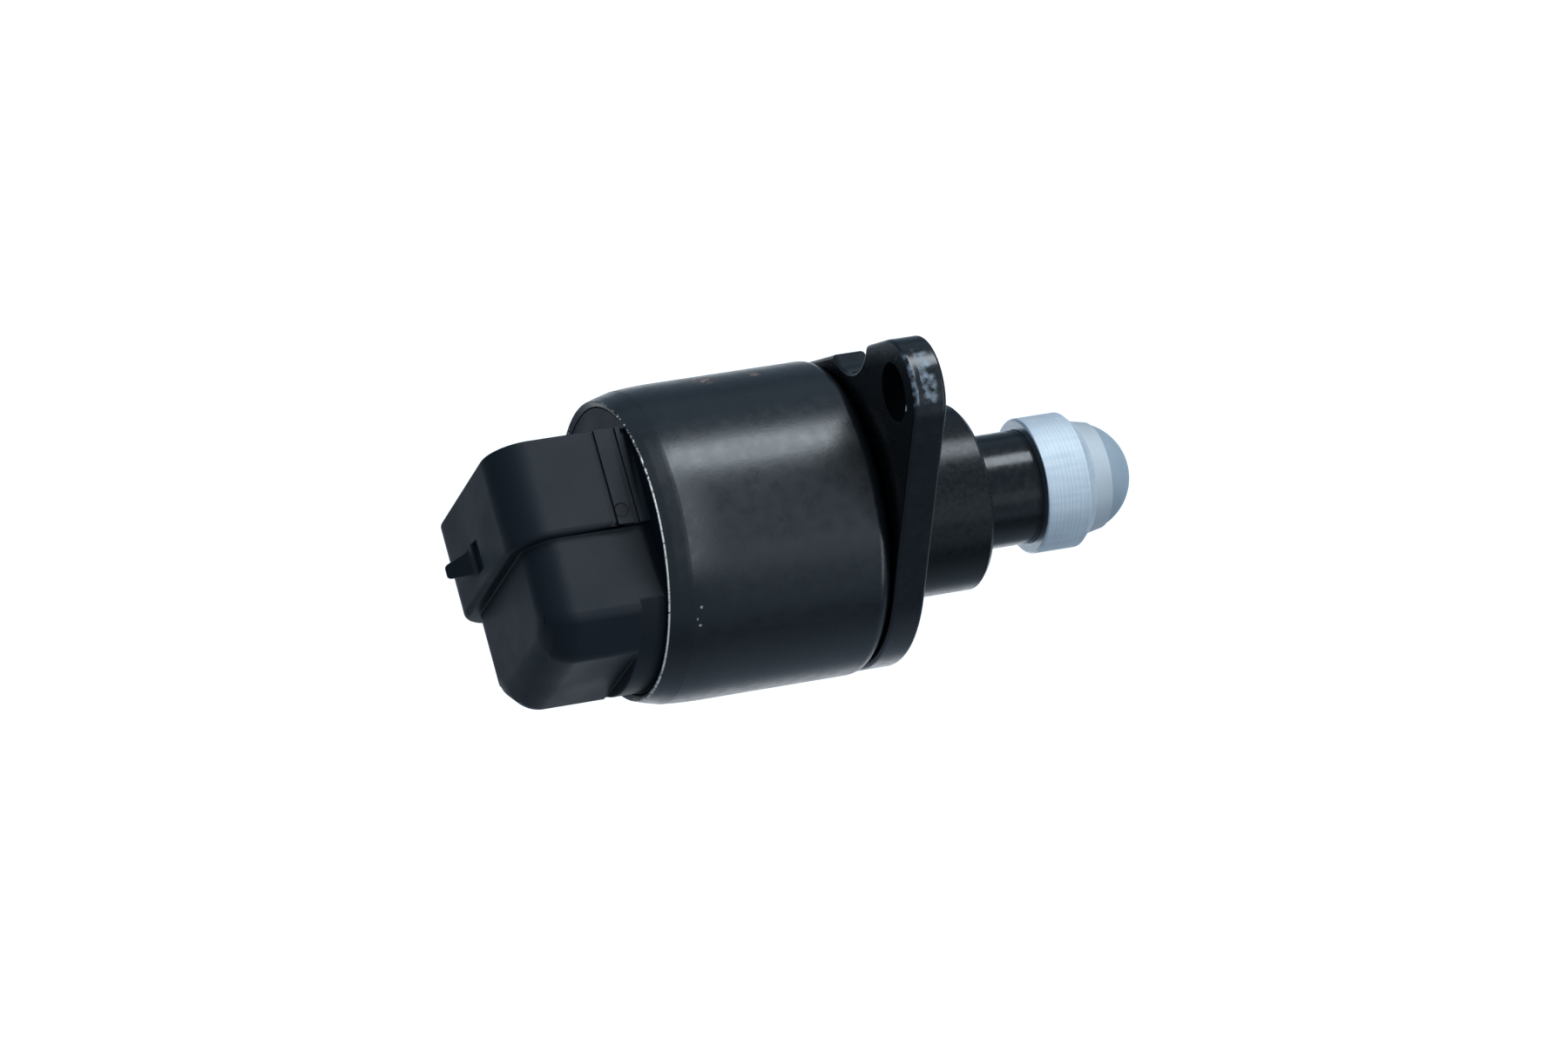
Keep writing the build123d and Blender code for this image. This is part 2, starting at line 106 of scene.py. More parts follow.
def stand(thing, place, side, top, back):
    """Put an object at a place, with its own X, Y and Z along three given directions."""
    turn = np.eye(4)
    turn[:3, :3] = np.column_stack([side, top, back])
    turn[:3, 3] = place
    thing.matrix_world = turn.T
    bpy.context.scene.collection.objects.link(thing)


camera = bpy.data.objects.new("camera", bpy.data.cameras.new("camera"))
camera.data.lens = CAMERA_LENS
camera.data.sensor_width = CAMERA_SENSOR
stand(camera, camera_place, right, up, -forward)
bpy.context.scene.camera = camera
print("camera at", np.round(camera_place / MM, 1).tolist(), "mm")

# %% [markdown]
# ## Nodes and colours
#
# Every material below is a small tree of nodes. One helper turns a given colour, which is sRGB, into
# the linear numbers that the shader works in. One adds a node with its settings, its values and its
# links in a single call, and hands back the output that the next node needs. One turns a real size in
# millimetres into a texture scale, because places here are measured in metres.

# %% Nodes and colours
bpy.context.scene.view_settings.view_transform = "Standard"

# A Mix node has sockets for numbers, vectors and colours, and these are the ones for colours
MIX_A, MIX_B, MIX_RESULT = 6, 7, 2
# A noise texture seldom leaves this range
NOISE_LOW, NOISE_HIGH = 0.3, 0.7


def linear(hex_colour):
    """An sRGB colour such as #808080 as linear RGBA, by the inverse of the sRGB curve."""
    channels = np.array([int(hex_colour[start:start + 2], 16) for start in (1, 3, 5)]) / 255
    dark = channels / 12.92
    light = ((channels + 0.055) / 1.055) ** 2.4
    return (*np.where(channels <= 0.04045, dark, light).tolist(), 1.0)


def add_node(tree, kind, inputs=None, output=0, **settings):
    """Add a node and give back one of its outputs, if it has any.

    Settings are the node's own properties, and inputs its sockets, each a value or a link.
    """
    made = tree.nodes.new("ShaderNode" + kind)
    for name, value in settings.items():
        setattr(made, name, value)
    for key, value in (inputs or {}).items():
        if isinstance(value, bpy.types.NodeSocket):
            tree.links.new(value, made.inputs[key])
        else:
            made.inputs[key].default_value = value
    return made.outputs[output] if made.outputs else None


def blank_material(name):
    """A new material, its empty node tree and the place of each point in the object's own metres."""
    material = bpy.data.materials.new(name)
    material.use_nodes = True
    tree = material.node_tree
    tree.nodes.clear()
    return material, tree, add_node(tree, "TexCoord", output="Object")


def scale_for(size_mm):
    """The texture scale that gives a pattern of this size in millimetres."""
    return 1 / (size_mm * MM)


print("middle grey is", round(linear("#808080")[0], 3), "in linear light")

# %% [markdown]
# ## Floor
#
# The floor is a plain pale sheet, far enough below for the valve's shadow to fall outside the
# picture. More light would make it white, but would bleach the valve as well. So it has a glow that
# the camera sees everywhere, and reflections only in a pool behind the valve. The pool has an end,
# because a real sheet ends a little outside the frame, and dark parts mirror what lies beyond it.

# %% Floor
FLOOR_DROP = 250 * MM
FLOOR_HALF = 20.0
FLOOR_COLOUR = "#a9aeb2"
GLOW_COLOUR = "#ffffff"
GLOW_STRENGTH = 0.75
POOL_FLAT_R = 170 * MM
POOL_FADE_R = 250 * MM

floor_z = cad_box[0][2] - FLOOR_DROP
pool_centre = camera_place + forward * (floor_z - camera_place[2]) / forward[2]
floor_material, tree, place = blank_material("pale_floor_sheet")
rays = add_node(tree, "LightPath").node.outputs
mirrored = add_node(tree, "Math", {
    0: rays["Is Glossy Ray"], 1: rays["Is Transmission Ray"],
}, operation="ADD")
away = add_node(tree, "VectorMath", {0: place, 1: pool_centre}, "Value", operation="DISTANCE")
pool = add_node(tree, "MapRange", {
    "Value": away, "From Min": POOL_FADE_R, "From Max": POOL_FLAT_R,
}, interpolation_type="SMOOTHSTEP")
seen = add_node(tree, "Math", {
    0: mirrored, 1: pool, 2: rays["Is Camera Ray"],
}, operation="MULTIPLY_ADD", use_clamp=True)
lift = add_node(tree, "Math", {0: seen, 1: GLOW_STRENGTH}, operation="MULTIPLY")
sheet = add_node(tree, "BsdfDiffuse", {"Color": linear(FLOOR_COLOUR)})
glow = add_node(tree, "Emission", {"Color": linear(GLOW_COLOUR), "Strength": lift})
both = add_node(tree, "AddShader", {0: sheet, 1: glow})
add_node(tree, "OutputMaterial", {"Surface": both})

floor_corners = np.array([(-1, -1), (1, -1), (1, 1), (-1, 1)]) * FLOOR_HALF
floor_mesh = bpy.data.meshes.new("floor")
floor_mesh.from_pydata([(x, y, floor_z) for x, y in floor_corners], [], [(0, 1, 2, 3)])
floor_mesh.materials.append(floor_material)
floor = bpy.data.objects.new("floor", floor_mesh)
bpy.context.scene.collection.objects.link(floor)
print("floor at", round(floor_z / MM, 1), "mm")

# %% [markdown]
# ## World and light
#
# Small parts are photographed under a long softbox in a dim room. The softbox lies along the valve,
# so that its reflection makes one band on every round surface. An overhead strip picks out the swaged
# rear of the can, a fill near the camera lifts its lower half, and an edge strip in front draws a
# thin line on the round at the can's front edge. Each light is placed by a direction and an angle
# that it fills, because on a cylinder those decide where its band falls and how broad it is.

# %% World and light
WORLD_COLOUR = "#9fb8ce"
WORLD_STRENGTH = 0.85
LIGHT_DISTANCE = 600 * MM
LIGHT_COLOUR = "#ecf7ff"

world = bpy.data.worlds.new("dim_room")
world.use_nodes = True
world.node_tree.nodes.clear()
room = add_node(world.node_tree, "Background", {
    "Color": linear(WORLD_COLOUR), "Strength": WORLD_STRENGTH,
})
add_node(world.node_tree, "OutputWorld", {"Surface": room})
bpy.context.scene.world = world


def soft_light(name, along_x, lean_degrees, length, spread_degrees, radiance):
    """A soft light in a direction given by its share of X and its lean from Z towards Y.

    The length runs along X, the spread is the angle that the light fills across X, and the
    power is the radiance times pi times the area.
    """
    lean = np.radians(lean_degrees)
    across_x = np.sqrt(1 - along_x**2)
    direction = np.array([along_x, across_x * np.sin(lean), across_x * np.cos(lean)])
    side = np.array([1, 0, 0]) - direction * along_x
    side /= np.linalg.norm(side)
    light = bpy.data.objects.new(name, bpy.data.lights.new(name, "AREA"))
    light.data.shape = "RECTANGLE"
    light.data.size = length
    light.data.size_y = 2 * LIGHT_DISTANCE * np.tan(np.radians(spread_degrees / 2))
    light.data.energy = radiance * np.pi * light.data.size * light.data.size_y
    light.data.color = linear(LIGHT_COLOUR)[:3]
    stand(light, LIGHT_DISTANCE * direction, side, np.cross(direction, side), direction)
    print(name, round(light.data.size / MM), "by", round(light.data.size_y / MM), "mm")


soft_light(
    "softbox", along_x=0.349, lean_degrees=33, length=400 * MM, spread_degrees=19, radiance=9,
)
soft_light(
    "overhead", along_x=0.09, lean_degrees=-8, length=75 * MM, spread_degrees=80, radiance=5,
)
soft_light(
    "fill", along_x=0.349, lean_degrees=-46, length=400 * MM, spread_degrees=20, radiance=0.4,
)
soft_light(
    "edge_strip", along_x=0.64, lean_degrees=-50, length=100 * MM, spread_degrees=56, radiance=4,
)

# %% [markdown]
# ## Turned surfaces
#
# A turned or drawn piece is one section carried round the axis. A Screw modifier could do that, but
# its normals come from its faces. Here the section is a list of corners, each with its own rounding,
# and each corner becomes an arc that is tangent to both its sides. The normals come from the same
# formula, so that a flat face stays flat right up to its rounded edge.

# %% Rounded sections
ARC_STEPS = 8


def rounded_section(corners):
    """Points and outward normals of a closed section, from corners in mm, anticlockwise.

    A corner is (x, radius, rounding). Its arc starts the rounding times tan(half the turn) before
    it. The arc's points are its centre plus or minus the rounding along the normal, which swings
    evenly from side to side. Nothing here checks that the two arcs on a side fit into its length.
    """
    corners = np.array(corners, float)
    spots, rounding = corners[:, :2], corners[:, 2]
    ways = np.roll(spots, -1, axis=0) - spots
    headings = np.arctan2(ways[:, 1], ways[:, 0])
    arrivals = np.roll(headings, 1)
    turns = (headings - arrivals + np.pi) % (2 * np.pi) - np.pi
    swing = arrivals[:, None] + turns[:, None] * np.linspace(0, 1, ARC_STEPS)
    normals = np.stack([np.sin(swing), -np.cos(swing)], axis=-1)
    setback = rounding * np.tan(np.abs(turns) / 2)
    starts = spots - setback[:, None] * np.stack([np.cos(arrivals), np.sin(arrivals)], axis=-1)
    reach = (np.sign(turns) * rounding)[:, None, None]
    points = starts[:, None, :] + reach * (normals - normals[:, :1])
    # A corner without rounding is one point, and on the axis it faces along the axis
    keep = (rounding[:, None] > 0) | (np.arange(ARC_STEPS) == ARC_STEPS // 2)
    points, normals = points[keep], normals[keep]
    on_axis = points[:, 1] == 0
    normals[on_axis] = np.sign(normals[on_axis, :1]) * (1, 0)
    return points * MM, normals


print("each rounded corner has", ARC_STEPS, "points")

# %% Turned surfaces
LATHE_STEPS = 256


def carried_round(flat):
    """Carry pairs (x, radius) round X: at the angle a, one becomes (x, radius cos a, radius sin a)."""
    angles = np.linspace(0, 2 * np.pi, LATHE_STEPS, endpoint=False)
    x, radius = flat[:, :1], flat[:, 1:]
    return np.stack(
        np.broadcast_arrays(x, radius * np.cos(angles), radius * np.sin(angles)), axis=-1,
    ).reshape(-1, 3)


def turned_faces(on_axis):
    """The spots that a lathed grid uses, and its faces: quads, and triangles beside the axis.

    All the spots of a row on the axis are one, so a quad with a side there loses that side.
    """
    spots = np.arange(len(on_axis) * LATHE_STEPS).reshape(-1, LATHE_STEPS)
    spots[on_axis] = spots[on_axis, :1]
    ahead = np.roll(spots, -1, axis=0)
    corners = np.stack(
        [spots, ahead, np.roll(ahead, -1, axis=1), np.roll(spots, -1, axis=1)], axis=-1,
    )
    used, faces = np.unique(corners.reshape(-1, 4), return_inverse=True)
    faces = faces.reshape(-1, 4)
    from_axis = faces[:, 0] == faces[:, 3]
    to_axis = faces[:, 1] == faces[:, 2]
    quads = faces[~from_axis & ~to_axis]
    opening = faces[from_axis & ~to_axis][:, :3]
    closing = faces[to_axis & ~from_axis][:, [0, 1, 3]]
    return used, [*quads.tolist(), *opening.tolist(), *closing.tolist()]


def turned_piece(name, corners):
    """A closed turned surface with its own normals: its rounded section, carried round X."""
    points, normals = rounded_section(corners)
    used, faces = turned_faces(points[:, 1] == 0)
    mesh = bpy.data.meshes.new(name)
    mesh.from_pydata(carried_round(points)[used], [], faces)
    mesh.polygons.foreach_set("use_smooth", np.ones(len(mesh.polygons), bool))
    mesh.normals_split_custom_set_from_vertices(carried_round(normals)[used])
    piece = bpy.data.objects.new(name, mesh)
    bpy.context.scene.collection.objects.link(piece)
    print(name, len(mesh.vertices), "vertices")
    return piece


print("each turned surface has", LATHE_STEPS, "steps round the axis")

# %% [markdown]
# ## The can
#
# The can is drawn from steel sheet. It has a floor in front, with a hole for the spigot, and is rolled
# in at the rear over the connector's base. A press leaves it with a round front edge, a shallow swage
# towards the rear and a crimp line where the rolled shoulder starts. One section with eleven corners
# and large roundings gives all of these. A fault is left in it: the arcs of the swage and the crimp
# need more than the side between them, so the surface folds back on itself there by half a millimetre.

# %% The can's surface
CAN_WALL = 0.8
CAN_FRONT_ROUND = 1.8
CAN_HOLE_R = 9.05
CAN_FLOOR_ROUND = 0.5
CUT_ROUND = 0.05
SWAGE_LENGTH = 4.5
SWAGE_DROP = 0.24
SWAGE_INNER_ROUND = 2.0
CRIMP_SETBACK = 0.75
CRIMP_ROUND = 8.0
SHOULDER_ROUND = 6.0
# How far along and how far down the shoulder its middle corner lies
SHOULDER_ALONG = 0.6
SHOULDER_DOWN = 0.65
LIP_DROP = 1.0
LIP_LENGTH = 3.5
LIP_ROUND = 0.12

can_low, can_high = np.array(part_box("can")) / MM
can_rear, can_front = can_low[0], can_high[0]
can_r = can_high[2]
shoulder_start = can_rear + LIP_LENGTH
shoulder_r = (LIP_LENGTH**2 + LIP_DROP**2) / (2 * LIP_DROP)
shoulder_turn = np.arcsin(LIP_LENGTH / shoulder_r)
crimp_x = shoulder_start - CRIMP_SETBACK
shoulder_middle = crimp_x - SHOULDER_ALONG * (crimp_x - can_rear)
shoulder_middle_r = can_r - SHOULDER_DOWN * LIP_DROP
swage_round = SWAGE_LENGTH**2 / (2 * SWAGE_DROP)
lip_x = can_rear + CAN_WALL * np.sin(shoulder_turn)
lip_r = can_r - LIP_DROP - CAN_WALL * np.cos(shoulder_turn)

can = turned_piece("steel_can", [
    (lip_x, lip_r, LIP_ROUND),
    (shoulder_middle, shoulder_middle_r - CAN_WALL, SHOULDER_ROUND - CAN_WALL),
    (crimp_x + SWAGE_LENGTH, can_r - CAN_WALL, SWAGE_INNER_ROUND),
    (can_front - CAN_WALL, can_r - CAN_WALL, CAN_FLOOR_ROUND),
    (can_front - CAN_WALL, CAN_HOLE_R, CUT_ROUND),
    (can_front, CAN_HOLE_R, CUT_ROUND),
    (can_front, can_r, CAN_FRONT_ROUND),
    (crimp_x + SWAGE_LENGTH / 2, can_r, swage_round),
    (crimp_x, can_r - SWAGE_DROP, CRIMP_ROUND),
    (shoulder_middle, shoulder_middle_r, SHOULDER_ROUND),
    (can_rear, can_r - LIP_DROP, LIP_ROUND),
])
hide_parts("can")
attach(can, "housing")

# %% [markdown]
# ## The can's coat
#
# The can was coated satin black before it was rolled. Under a softbox such a coat shows one broad band
# with a fine mottle, because its skin has an orange peel of about a third of a millimetre. A painted
# texture would need an unwrapped can. Noise in the can's own space needs none, and fits at any size.
# Wear goes on top: each kind is a mask from 0 to 1, worked out from the place of a point.

# %% Coat: patterns
PEEL_MM = 0.35
PATCH_MM = 1.4
NICK_MM = 0.4
RUST_GRAIN_MM = 0.7

coat, tree, place = blank_material("satin_black_coat_on_drawn_steel")
axes = add_node(tree, "SeparateXYZ", {0: place}).node.outputs
peel, patch, nick, rust_grain = [
    add_node(tree, "TexNoise", {"Vector": place, "Scale": scale_for(size), "Detail": detail})
    for size, detail in [(PEEL_MM, 1), (PATCH_MM, 2), (NICK_MM, 1), (RUST_GRAIN_MM, 3)]
]
print(coat.name, "has patterns of", PEEL_MM, PATCH_MM, NICK_MM, RUST_GRAIN_MM, "mm")

# %% [markdown]
# The rolled lip rubs on whatever the valve is put down on, so its outer edge is bare steel on one
# side. That side is the one towards the camera, and the steel is drawn near white, so the band is in
# part a painted highlight: a thin bright line along the lip. The mask is a thin band at the rear end.
# It fades with the distance from that side, and noise breaks it into a line of nicks.

# %% Coat: bare lip
BRIGHT_LIP_MM = 0.28
BRIGHT_FADE_MM = 0.1
# The side where the lip is bare and drawn near white, towards the camera: in part a painted highlight
BRIGHT_SIDE = (0.0, -0.75, 0.66)
# Where along that side the bright band starts and where it is full, in mm, and what it adds to the noise
BRIGHT_START_MM = 2
BRIGHT_FULL_MM = 15
BRIGHT_GAIN = 0.4
BRIGHT_FROM = 0.6
BRIGHT_TO = 0.85

edge = add_node(tree, "MapRange", {
    "Value": axes["X"],
    "From Min": (can_rear + BRIGHT_LIP_MM) * MM,
    "From Max": (can_rear + BRIGHT_LIP_MM - BRIGHT_FADE_MM) * MM,
})
side = add_node(tree, "VectorMath", {0: place, 1: BRIGHT_SIDE}, "Value", operation="DOT_PRODUCT")
side = add_node(tree, "MapRange", {
    "Value": side, "From Min": BRIGHT_START_MM * MM, "From Max": BRIGHT_FULL_MM * MM, "To Max": BRIGHT_GAIN,
})
bright_side_nicks = add_node(tree, "Math", {0: side, 1: nick}, operation="ADD")
bright_side_nicks = add_node(tree, "MapRange", {
    "Value": bright_side_nicks, "From Min": BRIGHT_FROM, "From Max": BRIGHT_TO,
})
bare_and_highlight = add_node(tree, "Math", {0: edge, 1: bright_side_nicks}, operation="MULTIPLY")
print("bare lip of", BRIGHT_LIP_MM, "mm")

# %% [markdown]
# The crimping tool chipped the coat in a short row just in front of the crimp line. Voronoi cells give
# round spots at about even distances, and three limits keep only those in the row. The rust is two
# small groups of specks on top of the can: noise above a threshold, near two points.

# %% Coat: chips and rust
CHIP_MM = 0.6
# A chip's edge, as a share of a cell
CHIP_NONE = 0.34
CHIP_FULL = 0.24
# Each limit: where the chips end, and where they are full, in mm
CHIP_ROW = (0.4, 0.25)
CHIP_TOP = (-13.6, -13.9)
CHIP_BOTTOM = (-15.6, -15.3)
# Each group of specks: its middle and its reach in mm
RUST_SPOTS = [((-18.6, 13.4, 12.0), 1.9), ((-12.8, 13.0, 12.4), 1.1)]
RUST_CORE = 0.4
RUST_FROM = 0.46
RUST_TO = 0.54

from_row = add_node(tree, "Math", {0: axes["X"], 1: shoulder_start * MM}, operation="SUBTRACT")
from_row = add_node(tree, "Math", {0: from_row}, operation="ABSOLUTE")
chip_and_glint = add_node(tree, "TexVoronoi", {"Vector": place, "Scale": scale_for(CHIP_MM)})
chip_and_glint = add_node(tree, "MapRange", {"Value": chip_and_glint, "From Min": CHIP_NONE, "From Max": CHIP_FULL})
for value, (none_at, full_at) in [
    (from_row, CHIP_ROW), (axes["Y"], CHIP_TOP), (axes["Y"], CHIP_BOTTOM),
]:
    within = add_node(tree, "MapRange", {
        "Value": value, "From Min": none_at * MM, "From Max": full_at * MM,
    })
    chip_and_glint = add_node(tree, "Math", {0: chip_and_glint, 1: within}, operation="MULTIPLY")

rust = 0.0
for spot, reach in RUST_SPOTS:
    away = add_node(tree, "VectorMath", {
        0: place, 1: np.array(spot) * MM,
    }, "Value", operation="DISTANCE")
    near = add_node(tree, "MapRange", {
        "Value": away, "From Min": reach * MM, "From Max": RUST_CORE * reach * MM,
    })
    rust = add_node(tree, "Math", {0: near, 1: rust}, operation="ADD")
pitted = add_node(tree, "MapRange", {"Value": rust_grain, "From Min": RUST_FROM, "From Max": RUST_TO})
rust = add_node(tree, "Math", {0: rust, 1: pitted}, operation="MULTIPLY")
print("chips", CHIP_MM, "mm apart and", len(RUST_SPOTS), "groups of rust specks")

# %% [markdown]
# The coat itself is a plastic skin on steel. The eye sees nearly black, with a soft broad shine that is
# a little uneven. Bare steel is near white and metallic, partly a painted highlight; rust is brown and
# dull.

# %% Coat: the shader
COAT_ROUGHNESS = (0.26, 0.33)
DULL_ROUGHER = 0.4
COAT_RELIEF_MM = 0.006

colour = add_node(tree, "Mix", {
    0: patch, MIX_A: linear("#090b0d"), MIX_B: linear("#0f1215"),
}, MIX_RESULT, data_type="RGBA")
# Chips, rust, and the bare lip in near white, which is in part a painted highlight
for mask, shade in [(chip_and_glint, "#a59a8e"), (rust, "#7a625a"), (bare_and_highlight, "#fff5ea")]:
    colour = add_node(tree, "Mix", {
        0: mask, MIX_A: colour, MIX_B: linear(shade),
    }, MIX_RESULT, data_type="RGBA")
rough = add_node(tree, "MapRange", {
    "Value": patch, "From Min": NOISE_LOW, "From Max": NOISE_HIGH,
    "To Min": COAT_ROUGHNESS[0], "To Max": COAT_ROUGHNESS[1],
})
dull = add_node(tree, "Math", {0: bare_and_highlight, 1: rust}, operation="MAXIMUM")
rough = add_node(tree, "Math", {0: dull, 1: DULL_ROUGHER, 2: rough}, operation="MULTIPLY_ADD")
relief = add_node(tree, "Bump", {"Height": peel, "Strength": 1.0, "Distance": COAT_RELIEF_MM * MM})
skin = add_node(tree, "BsdfPrincipled", {
    "Base Color": colour, "Roughness": rough, "Metallic": bare_and_highlight, "Normal": relief,
})
add_node(tree, "OutputMaterial", {"Surface": skin})
can.data.materials.append(coat)
print(coat.name, len(tree.nodes), "nodes")

# %% [markdown]
# ## The pintle head
#
# The head is turned from aluminium bar: a barrel, a short cone, a band and a dome, with a seat behind
# for the guide tube and a blind bore for the screw. It is another lathed section. The dome is a run of
# corners without rounding on a circle, because one large rounding can't end on the axis.

# %% The pintle head's surface
HEAD_LENGTH = 5.3
HEAD_REAR_ROUND = 0.3
HEAD_CONE_LENGTH = 1.3
CONE_REAR_ROUND = 0.15
CONE_FRONT_ROUND = 0.12
BAND_REAR_R = 6.6
BAND_FRONT_R = 6.15
BAND_LENGTH = 2.2
BAND_FRONT_ROUND = 0.08
DOME_R = 6.4
DOME_STEPS = 24
TUBE_SEAT_R = 6.57
TUBE_SEAT_DEPTH = 1.5
SCREW_SEAT_R = 2.02
SCREW_SEAT_DEPTH = 4.0

head_low, head_high = np.array(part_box("pintle_head")) / MM
head_rear, head_tip = head_low[0], head_high[0]
head_r = head_high[2]
cone_rear = head_rear + HEAD_LENGTH
cone_front = cone_rear + HEAD_CONE_LENGTH
band_front = cone_front + BAND_LENGTH
dome_start = np.arcsin(BAND_LENGTH / DOME_R)
dome_start_r = np.sqrt(DOME_R**2 - BAND_LENGTH**2)
dome_turns = np.linspace(dome_start, np.pi / 2, DOME_STEPS)[1:-1]
dome = [(cone_front + DOME_R * np.sin(turn), DOME_R * np.cos(turn), 0.0) for turn in dome_turns]
tube_seat = head_rear + TUBE_SEAT_DEPTH
screw_seat = tube_seat + SCREW_SEAT_DEPTH

head = turned_piece("turned_pintle_head", [
    (screw_seat, 0.0, 0.0),
    (head_tip, 0.0, 0.0),
    *reversed(dome),
    (band_front, dome_start_r, CUT_ROUND),
    (band_front, BAND_FRONT_R, BAND_FRONT_ROUND),
    (cone_front, BAND_REAR_R, CONE_FRONT_ROUND),
    (cone_rear, head_r, CONE_REAR_ROUND),
    (head_rear, head_r, HEAD_REAR_ROUND),
    (head_rear, TUBE_SEAT_R, CUT_ROUND),
    (tube_seat, TUBE_SEAT_R, CUT_ROUND),
    (tube_seat, SCREW_SEAT_R, CUT_ROUND),
    (screw_seat, SCREW_SEAT_R, CUT_ROUND),
])
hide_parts("pintle_head")
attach(head, "pintle")

# %% [markdown]
# ## Turned aluminium
#
# A lathe tool leaves fine rings. They could be modelled, but they are far thinner than a pixel, so
# they are a bump: a random height that depends only on X plus the radius, a sum that changes along a
# barrel and across a flat face alike. Handling leaves smears, and streaks along the head. Bare
# aluminium mirrors the room softly and is brighter than anything else on the valve.

# %% Turned aluminium: patterns
# Real tool marks are about half as wide as this, and are drawn wider so that they show
RING_MM = 0.18
STREAK_MM = 0.5
STREAK_STRETCH = (0.08, 1.0, 1.0)
SMEAR_MM = 2.5
MOTTLE_SHIFT = -0.5
MOTTLE_TO = 0.5

metal, tree, place = blank_material("turned_aluminium")
axes = add_node(tree, "SeparateXYZ", {0: place}).node.outputs
flat = add_node(tree, "CombineXYZ", {1: axes["Y"], 2: axes["Z"]})
radius = add_node(tree, "VectorMath", {0: flat}, "Value", operation="LENGTH")
along = add_node(tree, "Math", {0: axes["X"], 1: radius}, operation="ADD")
rings = add_node(tree, "TexNoise", {
    "W": along, "Scale": scale_for(RING_MM), "Detail": 4,
}, noise_dimensions="1D")
# Streaks run along the head: the pattern changes round it and hardly along it
stretched = add_node(tree, "VectorMath", {0: place, 1: STREAK_STRETCH}, operation="MULTIPLY")
streak = add_node(tree, "TexNoise", {
    "Vector": stretched, "Scale": scale_for(STREAK_MM), "Detail": 3,
})
smear = add_node(tree, "TexNoise", {"Vector": place, "Scale": scale_for(SMEAR_MM), "Detail": 5})
mottle = add_node(tree, "Math", {0: streak, 1: smear, 2: MOTTLE_SHIFT}, operation="MULTIPLY_ADD")
mottle = add_node(tree, "Math", {0: mottle, 1: rings}, operation="ADD")
mottle = add_node(tree, "MapRange", {"Value": mottle, "From Max": MOTTLE_TO})
print(metal.name, "has rings of", RING_MM, "and smears of", SMEAR_MM, "mm")

# %% [markdown]
# Each part of the head was cut in its own way. The band is a more neutral grey than the barrel, and the
# dome is darker and the most matt. The rear face was parted off with a sharp tool, so it mirrors the
# dark tube that it faces. One mask along X for each part is enough, because the parts follow each other.

# %% Turned aluminium: the shader
# How far the finish of one part of the head runs into the next, in mm
BAND_FADE = 0.1
DOME_FADE = 0.06
REAR_NONE = 0.3
REAR_FULL = 0.1
METAL_ROUGHNESS = (0.72, 0.82)
DOME_ROUGHER = 0.12
REAR_ROUGHER = -0.45
RING_RELIEF_MM = 0.0028

on_band, on_dome, on_rear = [
    add_node(tree, "MapRange", {
        "Value": axes["X"], "From Min": none_at * MM, "From Max": full_at * MM,
    })
    for none_at, full_at in [
        (cone_front - BAND_FADE, cone_front + BAND_FADE),
        (band_front - DOME_FADE, band_front + DOME_FADE),
        (head_rear + REAR_NONE, head_rear + REAR_FULL),
    ]
]
colour = add_node(tree, "Mix", {
    0: mottle, MIX_A: linear("#c4cad0"), MIX_B: linear("#dadee1"),
}, MIX_RESULT, data_type="RGBA")
for mask, shade in [(on_band, "#c6c9cb"), (on_dome, "#b2bbc2")]:
    colour = add_node(tree, "Mix", {
        0: mask, MIX_A: colour, MIX_B: linear(shade),
    }, MIX_RESULT, data_type="RGBA")
rough = add_node(tree, "MapRange", {
    "Value": smear, "From Min": NOISE_LOW, "From Max": NOISE_HIGH,
    "To Min": METAL_ROUGHNESS[0], "To Max": METAL_ROUGHNESS[1],
})
for mask, rougher in [(on_dome, DOME_ROUGHER), (on_rear, REAR_ROUGHER)]:
    rough = add_node(tree, "Math", {0: mask, 1: rougher, 2: rough}, operation="MULTIPLY_ADD")
relief = add_node(tree, "Bump", {"Height": rings, "Strength": 1.0, "Distance": RING_RELIEF_MM * MM})
skin = add_node(tree, "BsdfPrincipled", {
    "Base Color": colour, "Roughness": rough, "Metallic": 1.0, "Normal": relief,
})
add_node(tree, "OutputMaterial", {"Surface": skin})
head.data.materials.append(metal)
print(metal.name, len(tree.nodes), "nodes")

# %% [markdown]
# ## Softened copies
#
# The flange and the connector are not turned, and their solids already have the right outline. What
# they lack is the small round that stamping and moulding leave on every edge, which is what catches
# the light. A copy of the solid has its loose triangles merged and its flat faces joined. Each edge
# that is sharper than a given angle then gets a weight, by where it is, and a bevel rounds it by
# that weight: wide on the connector's ledge, narrow in its grooves. Weighted normals come last, so
# that the rounds shade smoothly and the large faces beside them stay flat.

# %% Edges of a solid


def values_of(items, name, width=1, kind=float):
    """One property of all items as an array, with a row for each item where it has several numbers."""
    values = np.empty(len(items) * width, kind)
    items.foreach_get(name, values)
    return values.reshape(-1, width) if width > 1 else values


